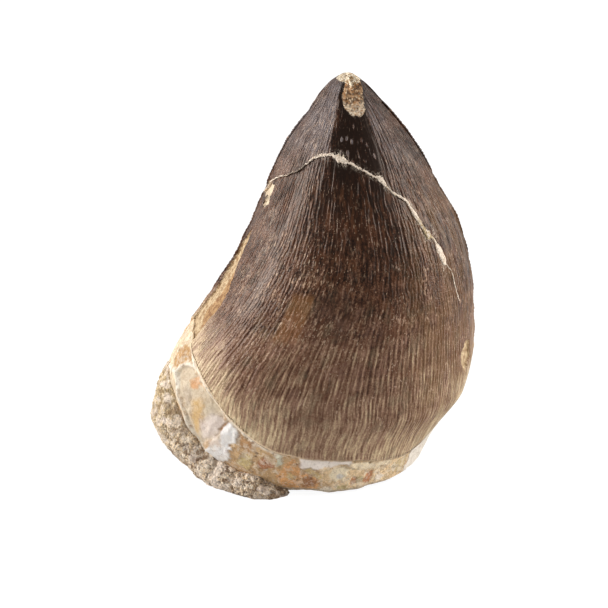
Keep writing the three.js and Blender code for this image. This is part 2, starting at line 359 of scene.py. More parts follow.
def wrinkles(spread, height):
    """Ridges from -1.3 to 1.3 that run down from the tip. Rings of cosines take over from each other
    as the girth grows, so that the pitch stays near one value. They crowd together towards the
    back and the left front. Noise bends them, most near the tip, and makes stretches of them
    stronger or fainter, short ones above and long ones below, and finer noise lies between them."""
    _, half_width, front, back, _ = half_widths(height)
    even = smooth_step(26, 18, height)  # the ridges run straighter and more evenly low down
    girth = pi * (half_width + (front + back) / 2) * (1 + 0.2 * smooth_step(17, 9, height))
    wander = 0.22 + 1.05 * smooth_step(15, 30, height)
    degrees = np.degrees(spread) % 360
    crowding = 0.2 * smooth_step(186, 240, degrees) - 0.2 * smooth_step(20, 160, degrees)
    bend = 0.26 * noise(flow(spread, height, 1.6), 2.5, 11) + 0.32 * noise(flow(spread, height, 1.7), 0.8, 12)
    total = 0
    for count in (18, 25, 35, 50, 71, 100, 141, 200, 283):
        weight = np.clip(2.5 - 8 * np.abs(np.log2(girth / RIDGE_PITCH / count)), 0, 1)
        wave = np.cos(count * (spread + crowding + wander * bend / FLOW_RADIUS))
        total = total + np.sqrt(weight) * (wave + 0.35 * wave**2 - 0.175)
    short = 0.6 * noise(flow(spread, height, 2.2), 0.5, 13)
    long = 0.6 * noise(flow(spread, height, 7), 0.5, 19)
    strength = short + (long - short) * even + 0.4 * noise(flow(spread, height, 3), 1.7, 17)
    strength = 0.55 + 0.25 * even + strength * (1 - 0.55 * even)
    fine = 0.75 * noise(flow(spread, height, 4 + 4 * even), 0.3, 14)
    fine = fine + 0.35 * noise(flow(spread, height, 6), 1.2, 18)
    return np.clip(total * np.clip(strength, 0.1, 1.2) + fine * (1 - 0.6 * even), -1.3, 1.3)


def enamel_tone(angle, height):
    """The tone curves blended round the face, from the left edge to the right. The back face takes
    the front's curves, turned over."""
    behind = np.sin(angle) > 0
    place = np.degrees(np.where(behind, 2 * pi - angle, angle)) % 360
    place = np.where(place == 0, 360, place)
    tone = smooth_through(TONE_LEFT, height)
    # near the tip the blends grow sharper, so that the painted shade down the middle meets the painted sheen
    # on the shoulders at crisp edges
    sharp = 6 * smooth_step(34, 42, height)
    place = place + 2.5 * noise(flow(angle, height, 6), 0.8, 31) + 2 * noise(flow(angle, height, 4), 2.5, 39)
    for curve, begin, end in (
        (TONE_LEFT_SHOULDER, 190, 228),
        (TONE_MIDDLE, 242 + sharp / 3, 266 - 1.33 * sharp),
        (TONE_RIGHT_SHOULDER, 282 + sharp, 306 - 0.5 * sharp),
        (TONE_RIGHT, 318, 346),
    ):
        tone = tone + (smooth_through(curve, height) - tone) * smooth_step(begin, end, place)
    return np.where(behind, np.maximum(tone, 0.12 + 0.5 * tone), tone)


def worn_depth(surface):
    """How far points stand above the worn flat, less towards its two sides, so that it is an oval:
    the least of the height above the flat's plane and the way in from its sides."""
    above = (surface - WEAR_POINT) @ WEAR_NORMAL
    height = surface[..., 2]
    middle = 5.3 - 0.1 * (height - 45.6)
    inside = smooth_through(WEAR_HALF, height) - np.abs(surface[..., 0] - middle)
    return np.minimum(above, 0.8 * inside) + 0.06 * noise(surface, 0.5, 36)


def columns_round(count):
    """Angles of that many columns round the crown, closer together on the fuller face."""
    return turns(count) + FRONT_SHARE * (1 - np.cos(turns(count)))


def column_at(spread, rise):
    """A column's angle, which turns towards the cutting edges lower down, the height of the
    enamel's ragged lower edge there, and the height a share of the way up from it to the tip."""
    angle = spread - COLUMN_DRIFT * np.sin(2 * spread) * (1 - rise) ** 2
    brink = smooth_through(ENAMEL_EDGE, np.degrees(angle) % 360)
    brink = brink + noises(flow(spread, 0, 1), (0.1, 1.4, 21), (0.04, 0.4, 22))
    return angle, brink, brink + (TIP_HEIGHT - brink) * rise


def paint_enamel(piece, spread, angle, height, surface, crest, flake):
    """Keeps what the enamel's colour depends on: its tone, with the ridges' crests lighter and the
    growth line darker, two stained patches, the left shoulder, how the ridges flow, and how far
    the lower edge, the crack, the flaked places, the worn flat and the tip's cap are."""
    degrees = np.degrees(angle)
    above_brink = height - column_at(spread, 0)[1]
    below_line = GROWTH_LINE - 0.045 * np.clip(degrees - 250, 0, 60) + 0.5 * noise(surface, 5, 33) - height
    line = np.exp(-((below_line / 0.14) ** 2)) - 0.6 * np.exp(-(((below_line + 0.3) / 0.14) ** 2))
    line = line - 0.5 * smooth_within(below_line, -0.1, 0.1, 0.5, 2.4)
    line = line * smooth_within(degrees, 228, 240, 280, 312)
    tone = enamel_tone(angle, height) + 0.1 * noise(flow(spread, height, 3), 3, 32) - 0.16 * line
    tone = tone + 0.05 * noise(up_axis(height), 0.8, 34)
    paler = 0.18 + 0.18 * smooth_within(degrees, 150, 190, 226, 258)
    tone = tone + paler * smooth_step(6.0, 0.8, above_brink)
    for scuff_degrees, scuff_height, strength in SCUFFS:
        spot = oval(degrees, height, (scuff_degrees, scuff_height), SCUFF_HALF)
        tone = tone + 0.75 * strength * smooth_step(1.3, 0.5, spot)
    # the crests are lighter as thin lines, less so near the lower edge and on the left
    contrast = 0.12 + 0.05 * smooth_within(height, 8, 14, 19, 26)
    contrast = contrast * (0.2 + 0.8 * smooth_step(1, 8, above_brink))
    contrast = contrast * (1 - 0.45 * smooth_step(252, 228, degrees) * smooth_step(22, 15, height))
    contrast = contrast * (0.5 + 0.5 * smooth_step(200, 222, degrees))
    thin_crest = np.clip(crest, 0, 1.3) ** 2
    warm = 0
    for centre, half, amount in STAINS:
        sideways, upwards = np.abs(degrees - centre[0]) / half[0], np.abs(height - centre[1]) / half[1]
        patch = np.maximum(sideways, upwards) + 0.15 * noise(surface, 1.2, 35)
        warm = warm + amount * smooth_step(1.15, 0.8, patch)
    # where the painted sheen lies: a band down the left shoulder of the fuller face, along its crease
    from_shoulder = degrees - smooth_through(SHOULDER_LINE, height) + 2 * noise(surface, 1.5, 47)
    shoulder = smooth_step(8.5, 1.0, np.abs(from_shoulder)) * smooth_within(height, 19, 24, 36, 39)
    nicked = (height > 31) | (degrees > 300)  # the nicks are ivory all over
    rim = np.where(nicked, 400, smooth_through(FLAKE_RIM, height))
    kept = {
        "tone": tone + contrast * (0.8 * crest + 0.5 * thin_crest - 0.15),
        "warm": warm,
        "shoulder": shoulder * (0.7 + 0.5 * noise(flow(spread, height, 2), 0.8, 48)),
        "crack": (height - crack_height(angle)) / np.sqrt(1 + crack_slope(angle) ** 2),
        "crack_half": smooth_through(CRACK_HALF, degrees % 360),
        "flake": flake,
        "flake_rim": (degrees - rim) * EDGE_DEGREE,
        "brink": above_brink,
        "worn": worn_depth(surface),
        "cap": np.linalg.norm(surface - CAP_MIDDLE, axis=-1) - CAP_RADIUS,
    }
    kept.update(zip(("flow_x", "flow_y", "flow_z"), np.moveaxis(flow(spread, height, 1), -1, 0)))
    for name, values in kept.items():
        paint(piece, name, values)


def enamel_skin(name, spread, rise, lip, lip_rows):
    """One closed piece of the crown. The rows stand where the rise says, and each lip row is a
    [lift, proud] that turns the skin in at the piece's broken edge. The wrinkles, the cutting
    edges and two scales of noise stand out from the form, the flaked places lie one thickness
    of enamel lower, and what is above the worn flat is cut down to it."""
    angle, _, height = column_at(spread, rise)
    spread = spread + 0 * angle
    degrees = np.degrees(angle) % 360
    surface = form(angle, height, 0)
    crest = wrinkles(spread, height)
    flake = flake_distance(angle, height) + noises(surface, (0.22, 0.9, 23), (0.08, 0.35, 24))
    bare = 1 - smooth_step(-0.12, 0.06, flake)
    from_keel = (90 - np.abs(degrees % 180 - 90)) * EDGE_DEGREE
    calm = smooth_step(0, 1.2, height - column_at(spread, 0)[1])
    calm = calm * smooth_step(TIP_HEIGHT, TIP_HEIGHT - 2.5, height)
    # the ridges are lower near the tip, and lowest down the polished middle of the fuller face
    middle = smooth_within(degrees, 236, 248, 294, 306) * smooth_step(18, 30, height)
    worn_down = (1 - 0.4 * smooth_step(18, 34, height)) * (1 - 0.7 * middle)
    proud = RIDGE_HEIGHT * worn_down * crest * (0.35 + 0.65 * calm) + 0.05 * noise(surface, 3.2, 25)
    proud = proud + keel_height(angle, height) * np.exp(-((from_keel / 0.5) ** 2)) * calm
    proud = proud - facets(angle, height)
    floor_depth = noises(surface, (0.05, 0.8, 27), (0.04, 0.4, 28)) - ENAMEL
    proud = proud + (floor_depth - proud) * bare
    for row, (lift, own_proud) in zip(lip_rows, lip):
        height[row] = height[row] + lift
        proud[row] = np.minimum(proud[row], own_proud)
    surface = form(angle, height, proud)
    rough = 0.1 * (0.5 - grains(surface, WORN_GRAIN, 29)[0]) + 0.06 * noise(surface, 0.8, 30)
    cut = np.maximum(worn_depth(surface), 0)
    cut = cut - rough * smooth_step(0, 0.15, cut)
    piece = closed_skin(name, surface - cut[..., None] * WEAR_NORMAL)
    paint_enamel(piece, spread, angle, height, surface, crest, flake)
    return piece


# The crack parts the crown in two. Each column meets it at a share of its way up that depends on
# the column's own turn, so it is found by trying the last answer again.
spread = columns_round(COLUMNS)
at_crack = np.full(COLUMNS, 0.7)
for attempt in range(30):
    angle, brink, _ = column_at(spread, at_crack)
    at_crack = np.clip((crack_height(angle) - brink) / (TIP_HEIGHT - brink), 0.2, 0.95)
gap = 0.6 * smooth_through(CRACK_HALF, np.degrees(angle) % 360)

UNCUT = 9.0  # a lip row that lies on the skin as it is
CROWN_TOP = 0.993  # share of the way up to the tip at which the rows end and a fan closes the crown
# [lift, proud] from inside the crown out to the skin, round the enamel's broken lower edge
BROKEN_LIP = [(0.3, -1.5), (0.03, -0.42), (0, -0.14), (0.12, -0.03)]
rows = np.linspace(0, 1, LOWER_ROWS)[:, None]
rise = np.concatenate([np.zeros((4, COLUMNS)), at_crack * rows, at_crack + np.zeros((3, COLUMNS))])
lip = BROKEN_LIP + [(0.35, UNCUT), (-gap - 0.05, UNCUT), (-gap, UNCUT), (-gap, -0.4), (-gap - 0.5, -1.5)]
crown_below_crack = enamel_skin("crown_below_crack", spread, rise, lip, [0, 1, 2, 3, 4, -4, -3, -2, -1])
rows = 1 - (1 - np.linspace(0, 1, UPPER_ROWS)[:, None]) ** 1.25
rows = at_crack + (CROWN_TOP - at_crack) * rows
rise = np.concatenate([at_crack + np.zeros((3, COLUMNS)), rows])
lip = [(gap + 0.5, -1.5), (gap, -0.4), (gap, UNCUT), (gap + 0.05, UNCUT)]
crown_above_crack = enamel_skin("crown_above_crack", spread, rise, lip, [0, 1, 2, 3])

# The two cutting edges themselves: narrow beads of enamel, notched every 0.42 mm
NOTCH_PITCH = 0.42
BEAD_STATIONS = 520
BEAD_SIDES = 10
BEAD_TOP = TIP_HEIGHT - 3.5


def cutting_edge(name, edge_angle, low, seed):
    """A notched bead up one cutting edge. Its section reaches 0.2 mm to each side and 0.25 mm into
    the crown, and stands out by 0.05 mm in the notches and by up to 0.19 mm between them."""
    height = np.linspace(low, BEAD_TOP, BEAD_STATIONS)
    turn = turns(BEAD_SIDES)
    jitter = 0.5 * noise(up_axis(height), 0.7, seed)
    notch_wave = np.abs(np.sin(pi * height / NOTCH_PITCH + 3 * jitter)) ** 0.7
    fade = smooth_within(height, low, low + 1.5, BEAD_TOP - 1.5, BEAD_TOP)
    tall = 0.05 + 0.12 * notch_wave * (0.7 + 0.5 * noise(up_axis(height), 1.3, seed + 1)) * fade
    out = np.where(np.cos(turn) > 0, tall[:, None], 0.25) * np.cos(turn)
    height = height[:, None]
    edge = np.full(height.shape, edge_angle)
    flake = flake_distance(edge, height)
    sunk = 1 - smooth_step(-0.12, 0.06, flake)
    base = form(edge, height, keel_height(edge, height) - 0.04 - (KEEL_HEIGHT + ENAMEL) * sunk)
    outward = np.sign(cos(edge_angle))
    rings = base + np.stack([out * outward, 0.2 * np.sin(turn) * outward + 0 * out, 0 * out], axis=-1)
    piece = closed_skin(name, rings)
    ring_angle = edge_angle + 0 * out
    crest = (2 * notch_wave - 1.2)[:, None] + 0 * out
    paint_enamel(piece, ring_angle, ring_angle, height + 0 * out, rings, crest, flake + 0 * out)
    return piece


cutting_edge_left = cutting_edge("cutting_edge_left", pi, 18.6, 81)
cutting_edge_right = cutting_edge("cutting_edge_right", 0.0, 14.5, 83)


class Field:
    """A value or colour that nodes work out at each point of a surface. Sums, differences and
    products of fields and numbers add the nodes that work them out."""

    def __init__(self, socket):
        self.socket = socket
        self.tree = socket.id_data

    def __add__(self, other):
        return maths("ADD", self, other)

    def __sub__(self, other):
        return maths("SUBTRACT", self, other)

    def __rsub__(self, other):
        return maths("SUBTRACT", other, self)

    def __mul__(self, other):
        return maths("MULTIPLY", self, other)

    __rmul__ = __mul__


def put(tree, kind, inputs=(), **settings):
    """Adds a node to a tree and gives its outputs. The inputs are values or fields, by name or
    number, and the settings are the node's own properties."""
    node = tree.nodes.new(kind)
    for name, value in settings.items():
        setattr(node, name, value)
    for name, value in dict(inputs).items():
        if isinstance(value, Field):
            tree.links.new(value.socket, node.inputs[name])
        else:
            node.inputs[name].default_value = value
    return [Field(socket) for socket in node.outputs]


def maths(operation, *values, clamp=False):
    """One step of arithmetic on fields and numbers."""
    tree = next(value.tree for value in values if isinstance(value, Field))
    return put(tree, "ShaderNodeMath", enumerate(values), operation=operation, use_clamp=clamp)[0]


def highest(first, *others):
    """The largest of several fields."""
    for other in others:
        first = maths("MAXIMUM", first, other)
    return first


def between(value, low, high):
    """A mask that rises smoothly from 0 at low to 1 at high, or falls where low is the larger."""
    inputs = {"Value": value, "From Min": low, "From Max": high}
    if low > high:
        inputs = {"Value": value, "From Min": high, "From Max": low, "To Min": 1, "To Max": 0}
    return put(value.tree, "ShaderNodeMapRange", inputs, interpolation_type="SMOOTHSTEP")[0]


def within(value, begin, full, fade, end):
    """A mask that is 1 from full to fade and falls smoothly to 0 at begin and at end."""
    return between(value, begin, full) * between(value, end, fade)


def layer(under, over, mask):
    """One colour laid over another where the mask is 1."""
    return put(mask.tree, "ShaderNodeMix", {0: mask, 6: under, 7: over}, data_type="RGBA")[2]


def tint(red, green, blue):
    """A linear colour from its screen values of 0 to 255."""
    screen = np.array([red, green, blue]) / 255
    linear = np.where(screen <= 0.04045, screen / 12.92, ((screen + 0.055) / 1.055) ** 2.4)
    return (*linear.tolist(), 1.0)


def ramp(value, *stops):
    """Colours along a scale: each stop is a place from 0 to 1 and a colour's screen values."""
    colour = put(value.tree, "ShaderNodeValToRGB", {0: value})[0]
    elements = colour.socket.node.color_ramp.elements
    for number, (place, screen) in enumerate(stops):
        stop = elements[number] if number < 2 else elements.new(place)
        stop.position = place
        stop.color = tint(*screen)
    return colour


def millimetres(tree):
    """The place on the object, in millimetres."""
    place = put(tree, "ShaderNodeTexCoord")[3]  # its Object output
    return put(tree, "ShaderNodeVectorMath", {0: place, "Scale": 1 / MM}, operation="SCALE")[0]


def own(tree, name):
    """A value kept for each point of the piece."""
    _, _, value, _ = put(tree, "ShaderNodeAttribute", attribute_name=name)
    return value


def cloud(place, scale, detail=3.0, roughness=0.6):
    """Fractal noise about 0.5, with that many lumps to a millimetre."""
    inputs = {"Vector": place, "Scale": scale, "Detail": detail, "Roughness": roughness}
    return put(place.tree, "ShaderNodeTexNoise", inputs)[0]


def drawn_out(along, share):
    """Places on the flow with their way along the ridges shortened to that share, so that a pattern
    read there is drawn out along them."""
    return put(along.tree, "ShaderNodeVectorMath", {0: along, 1: (1, 1, share)}, operation="MULTIPLY")[0]


def cells(place, scale):
    """Random cells, that many to a millimetre: the distance from the nearest centre, in cells, and
    two random values that are each cell's own."""
    distance, colour = put(place.tree, "ShaderNodeTexVoronoi", {"Vector": place, "Scale": scale})[:2]
    return distance, *put(place.tree, "ShaderNodeSeparateColor", {0: colour})[:2]


PLACE = "NodeSocketVector"
NUMBER = "NodeSocketFloat"
COLOUR = "NodeSocketColor"


def new_effect(name, inputs, outputs):
    """A node group with its sockets and no more, as (group, its input fields). A socket is a name,
    a kind and, for most inputs, the value that holds unless a material gives another."""
    group = bpy.data.node_groups.new(name, "ShaderNodeTree")
    for way, sockets in (("INPUT", inputs), ("OUTPUT", outputs)):
        for socket, kind, *usual in sockets:
            made = group.interface.new_socket(socket, in_out=way, socket_type=kind)
            if usual:
                made.default_value = usual[0]
    return group, put(group, "NodeGroupInput")[: len(inputs)]


def effect(group, place, **values):
    """Places an effect in a material, with the material's own values, and gives its outputs."""
    inputs = {name.replace("_", " ").capitalize(): value for name, value in values.items()}
    return put(place.tree, "ShaderNodeGroup", {"Place": place, **inputs}, node_tree=group)


# Fine lines where fractal noise passes through its middle: it is folded there, and the fold kept
fine_lines, (place, scale, detail, roughness, width) = new_effect(
    "fine lines",
    [("Place", PLACE), ("Scale", NUMBER, 1.0), ("Detail", NUMBER, 3.0), ("Roughness", NUMBER, 0.6),
     ("Width", NUMBER, 0.02)],
    [("Mask", NUMBER)],
)
fold = maths("ABSOLUTE", cloud(place, scale, detail, roughness) - 0.5)
lines = {"Value": fold, "From Min": 0, "From Max": width, "To Min": 1, "To Max": 0}
mask = put(fine_lines, "ShaderNodeMapRange", lines, interpolation_type="SMOOTHSTEP")[0]
put(fine_lines, "NodeGroupOutput", {"Mask": mask})

# Cemented sand: grains of one colour each, some dark and some white, with a fine dust between them
cemented_sand, (place, grain_size, base, dark, light, dark_share, light_share) = new_effect(
    "cemented sand",
    [("Place", PLACE), ("Grain size", NUMBER, 0.4), ("Base", COLOUR, tint(196, 172, 142)),
     ("Dark", COLOUR, tint(80, 60, 44)), ("Light", COLOUR, tint(240, 226, 206)),
     ("Dark share", NUMBER, 0.2), ("Light share", NUMBER, 0.3)],
    [("Colour", COLOUR), ("Height", NUMBER)],
)
from_centre, first_draw, second_draw = cells(place, maths("DIVIDE", 1.0, grain_size))
dust = cloud(place, 2.5, 6.0, 0.75)
colour = layer(base, light, between(dust, 0.42, 0.75))
colour = layer(colour, light, 0.8 * maths("LESS_THAN", first_draw, light_share))
colour = layer(colour, dark, 0.7 * maths("LESS_THAN", second_draw, dark_share))
colour = layer(colour, dark, 0.4 * between(from_centre, 0.45, 0.85))
height = 0.6 * dust + (1.0 - from_centre)
put(cemented_sand, "NodeGroupOutput", {"Colour": colour, "Height": height})


def new_material(name):
    """An empty material, as (material, its node tree)."""
    material = bpy.data.materials.new(name)
    material.use_nodes = True
    material.node_tree.nodes.clear()
    return material, material.node_tree


def finish_material(colour, roughness, height, relief, **fixed):
    """Ends a material in one shader. The height goes in through a bump of that many millimetres, and
    the fixed values are set on the shader's own sockets."""
    bump = {"Height": height, "Distance": relief * MM, "Strength": 1.0}
    bump = put(colour.tree, "ShaderNodeBump", bump)[0]
    inputs = {"Base Color": colour, "Roughness": roughness, "Normal": bump, **fixed}
    shader = put(colour.tree, "ShaderNodeBsdfPrincipled", inputs)
    put(colour.tree, "ShaderNodeOutputMaterial", {"Surface": shader[0]})


enamel, tree = new_material("worn enamel")
place = millimetres(tree)
tone, crack, crack_half = own(tree, "tone"), own(tree, "crack"), own(tree, "crack_half")
flow_places = [own(tree, name) for name in ("flow_x", "flow_y", "flow_z")]
along = put(tree, "ShaderNodeCombineXYZ", enumerate(flow_places))[0]
right, depth, upper = put(tree, "ShaderNodeSeparateXYZ", {0: place})
# streaks along the ridges, longer on the lower crown, and a grain that shows more on the upper
streaky = drawn_out(along, 0.22)
long_streaks = cloud(drawn_out(along, 0.08), 4.4, 2.0, 0.7)
streaks = {0: between(upper, 25, 17), 2: cloud(streaky, 3.4, 3.0, 0.75), 3: long_streaks}
streak = put(tree, "ShaderNodeMix", streaks)[0]
fleck = cloud(place, 4.2, 2.0, 0.8)
grain = (between(fleck, 0.36, 0.66) - 0.48) * (0.2 * between(upper, 14, 30) + 0.18)
value = tone + (0.4 * between(streak, 0.32, 0.68) - 0.2) + grain + (0.3 * cloud(place, 0.7, 4.0) - 0.15)
colour = ramp(
    0.8 * value, (0.0, (25, 12, 7)), (0.24, (69, 40, 26)), (0.44, (112, 80, 61)),
    (0.62, (150, 121, 97)), (0.8, (192, 166, 132)), (1.0, (222, 202, 166)),
)
warm = own(tree, "warm")
colour = layer(colour, tint(138, 94, 56), 0.6 * highest(warm, 0))
colour = layer(colour, tint(54, 40, 34), 0.4 * highest(-1 * warm, 0))
# a rusty cast in broad patches
rust = 0.3 * between(cloud(place, 0.2), 0.5, 0.68) * between(tone, -0.25, 0.1)
colour = layer(colour, tint(104, 62, 40), rust)
# olive grey and pink casts in small patches drawn out along the ridges
patchy_place = drawn_out(along, 0.5)
patchy = cloud(patchy_place, 0.8, 4.0)
for cast, edge, inside in ((tint(110, 100, 78), 0.52, 0.64), (tint(152, 116, 98), 0.48, 0.36)):
    colour = layer(colour, cast, 0.3 * between(patchy, edge, inside) * between(tone, 0.1, 0.5))
# painted sheen: a cool grey cast on the facets near the tip
colour = layer(colour, tint(92, 87, 91), between(upper, 36, 43) * between(tone, 0.05, 0.5))
# painted sheen: a pale grey highlight band down the left shoulder of the fuller face
colour = layer(colour, tint(150, 134, 126), 0.36 * own(tree, "shoulder"))
# a golden brown cast towards the right cutting edge
golden = between(right, 9, 15) * between(upper, 40, 33) * between(cloud(patchy_place, 0.6), 0.35, 0.6)
colour = layer(colour, tint(112, 80, 42), 0.4 * golden)
# rusty brown mottling in the dark middle
mottled = 0.4 * between(cloud(patchy_place, 1.3), 0.5, 0.64)
mottled = mottled * between(tone, 0.5, 0.25) * between(upper, 39, 36)
colour = layer(colour, tint(106, 66, 42), mottled)
# pale strokes along the ridges, in clusters, most on the upper flanks
strokes = between(cloud(drawn_out(along, 0.4), 4.4, 2.0, 0.7), 0.53, 0.64)
gathered = between(cloud(place, 0.42), 0.44, 0.62) * (0.7 * between(upper, 17, 26) + 0.3)
flank = between(crack, 0, 1) * between(right, 7.5, 9.5) * between(cloud(place, 0.7), 0.52, 0.62)
gathered = highest(gathered * between(tone, 0.06, 0.36), 0.4 * flank)
colour = layer(colour, tint(212, 178, 148), 0.6 * strokes * gathered)
# painted sheen: cool grey strokes on the two facets near the tip
facet = between(upper, 36, 39) * between(tone, 0.1, 0.34)
facet = facet * between(cloud(streaky, 5.0, 2.0, 0.7), 0.48, 0.62)
colour = layer(colour, tint(190, 178, 172), 0.3 * facet)
# a net of whitish scratches on the right flank above the crack
net = effect(fine_lines, place, scale=1.6, width=0.02)[0]
colour = layer(colour, tint(206, 186, 168), 0.4 * net * flank)
# pale dashes and dots where the wrinkles' crests are scuffed, in clusters and in a band to the left
# of the middle
band = within(upper, 26, 28, 31, 33) * within(right, -7, -4, 1, 4) * between(depth, 0, -2)
cluster = highest(between(cloud(place, 0.2, 2.0), 0.49, 0.66), 0.8 * band)
cluster = cluster * (0.6 * between(depth, 1, -2) + 0.4)
shown = 0.35 * between(tone, -0.15, 0.12) + 0.2
shown = highest(shown, 0.75 * (band * between(upper, 30.8, 29.4)))
for length, scale, share, least, reach in ((0.3, 3.4, 0.42, 0.04, 0.3), (0.8, 4.6, 0.3, 0.03, 0.34)):
    from_centre, draw, _ = cells(drawn_out(along, length), scale)
    limit = 0.05 * between(upper, 24, 34) + (share * cluster + least)
    speck = between(from_centre, reach, reach - 0.16) * maths("LESS_THAN", draw, limit)
    colour = layer(colour, tint(192, 166, 140), speck * shown)
# pale hairline scratches in places
long_place = drawn_out(along, 0.3)
scratch = effect(fine_lines, long_place, scale=0.6, detail=2.0, roughness=0.55, width=0.012)[0]
scratch = scratch * between(cloud(place, 0.3, 2.0), 0.5, 0.58) * between(tone, 0.0, 0.2)
scratch = scratch * between(cloud(place, 3.0, 2.0), 0.4, 0.55)
colour = layer(colour, tint(208, 180, 156), 0.45 * scratch)
# frayed pale threads beside the crack's chips
thread = effect(fine_lines, place, scale=1.5, detail=4.0, roughness=0.7, width=0.025)[0]
thread = thread * between(maths("ABSOLUTE", crack) - crack_half, 0.6, 0.0)
colour = layer(colour, tint(236, 218, 196), 0.8 * thread * between(crack_half, 0.06, 0.2))
# the thin pale line where the broken edge shows the enamel's own thickness
ragged = cloud(place, 3.0, 4.0, 0.7) - 0.5
brink_line = between(own(tree, "brink") + 0.3 * ragged, 0.32, 0.1)
brink_line = brink_line * (0.6 * between(right, 1, -4) + 0.4)
colour = layer(colour, tint(230, 206, 174), 0.75 * brink_line)
# the flaked places: an ivory rim over a tan floor of dentine
flake_mask = between(own(tree, "flake") + 0.3 * ragged, 0.05, -0.05)
mottle = between(cloud(place, 1.6, 5.0, 0.7), 0.35, 0.65)
bared = layer(tint(128, 90, 58), tint(178, 142, 100), mottle)
ivory = layer(tint(140, 108, 74), tint(204, 180, 144), mottle)
ivory = layer(ivory, tint(232, 216, 192), 0.5 * between(upper, 31, 32))
bared = layer(bared, ivory, between(own(tree, "flake_rim") + ragged, 0.15, -0.15))
colour = layer(colour, bared, flake_mask)
# the worn flat at the tip: porous, honey-coloured inside a pale rim, cream at the very top
honey = effect(
    cemented_sand, place, grain_size=0.26, base=tint(158, 112, 70), light=tint(226, 200, 166),
    dark=tint(58, 38, 26), dark_share=0.4, light_share=0.24,
)[0]
worn = own(tree, "worn") + 0.14 * ragged
pale = between(upper, 46.2, 45.2) * (0.6 * between(worn, 0.3, 0.06) + 0.4)
pale = pale * between(cloud(place, 3.6, 3.0, 0.8), 0.42, 0.58)
# painted shade: a dark band round the worn flat, like the shade in a groove
groove_shade = between(worn, -0.55, -0.1) * between(upper, 43.6, 44.6)
colour = layer(colour, tint(24, 15, 12), 0.75 * groove_shade)
worn_mask = between(worn, -0.02, 0.02)
colour = layer(colour, layer(honey, tint(222, 208, 186), 0.75 * pale), worn_mask)
cap_mask = between(own(tree, "cap") + 0.9 * ragged, 0.06, -0.06)
cream = layer(tint(158, 124, 84), tint(234, 218, 192), between(cloud(place, 2.4, 4.0), 0.38, 0.56))
colour = layer(colour, cream, cap_mask)
# bare and broken places are matt, and the polished dark middle has less relief than the flanks
matt = highest(cap_mask, flake_mask, worn_mask, brink_line)
roughness = maths("ADD", 0.2 * fleck + 0.27, 0.42 * matt, clamp=True)
relief = (0.6 * cloud(place, 4.6, 0.0) + cloud(streaky, 3.6, 0.0)) * between(tone, -0.1, 0.34)
gloss = {"Specular IOR Level": 0.33, "Specular Tint": (1.0, 0.79, 0.65, 1.0)}
finish_material(colour, roughness, relief, 0.1, **gloss)
for piece in (crown_below_crack, crown_above_crack, cutting_edge_left, cutting_edge_right):
    piece.data.materials.append(enamel)
    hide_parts("tooth")
    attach(piece, BODY)


# ---- Sand in the crack -------------------------------------------------------------------------
# The crown once broke in two. Fine cemented sand fills the break, stands a little proud of the
# enamel, and swells out where the broken edges have lost chips.

SEAM_ENDS = (104, 332.6)  # degrees round the crown
SEAM_STATIONS = 1150
SEAM_SIDES = 16
SEAM_SUNK = 0.35  # how far the sand goes into the crack

degrees = np.linspace(*SEAM_ENDS, SEAM_STATIONS)
angle = np.radians(degrees)[:, None]
half = np.maximum(smooth_through(CRACK_HALF, degrees), 0.015)[:, None]
turn = turns(SEAM_SIDES)
across = -np.cos(turn)  # from below the line to above it
side = np.sign(across)
place = flow(angle, 0, 1)
edge = 1 + 0.45 * noise(place + [0, 0, 3], 0.55, 75) * side + 0.3 * noise(place, 0.35, 76)
chipped = smooth_step(0.16, 0.3, half)
edge = edge + 0.4 * chipped * noise(place + [0, 0, 6], 0.34, 79) * (0.6 + 0.4 * side)
offset = half * np.clip(edge, 0.3, 2.0) * across
slope = crack_slope(angle)
lean = 1 / np.sqrt(1 + slope**2)
height = crack_height(angle) + offset * lean
turned = angle - np.radians(offset * slope * lean / EDGE_DEGREE)
swell = 0.05 + 0.1 * np.clip(half - 0.15, 0, 0.3) / 0.3
proud = np.where(np.sin(turn) > -0.01, swell * np.abs(np.sin(turn)) ** 0.7, -SEAM_SUNK)
rough = noises(form(turned, height, proud), (0.05, 0.35, 77), (0.04, 0.18, 78))
surface = form(turned, height, proud + np.where(np.sin(turn) > 0.05, rough, 0))
crack_filling = closed_skin("crack_filling", surface[::-1])

crack_sand, tree = new_material("sand in the crack")
place = millimetres(tree)
colour, relief = effect(
    cemented_sand, place, grain_size=0.12, base=tint(242, 222, 202), dark=tint(166, 134, 94),
    dark_share=0.1,
)
# an olive stain in the upper chips on the right
right = put(tree, "ShaderNodeSeparateXYZ", {0: place})[0]
olive = within(right, 12.4, 13.2, 14.2, 15.0) * between(cloud(place, 1.6), 0.4, 0.55)
colour = layer(colour, tint(160, 134, 76), 0.75 * olive)
finish_material(colour, 0.85, relief, 0.08)
crack_filling.data.materials.append(crack_sand)
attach(crack_filling, BODY)


# ---- Root of dentine ---------------------------------------------------------------------------
# The stub of the root under the crown: porous bone-like dentine, stained cream, yellow and orange
# by the ground, with shell-like white rims. It grew with the crown, and broke off rough below.

ROOT_COLUMNS = 760
ROOT_ROWS = 74
DEGREE = 0.27  # millimetres of the root's skin for a degree of it
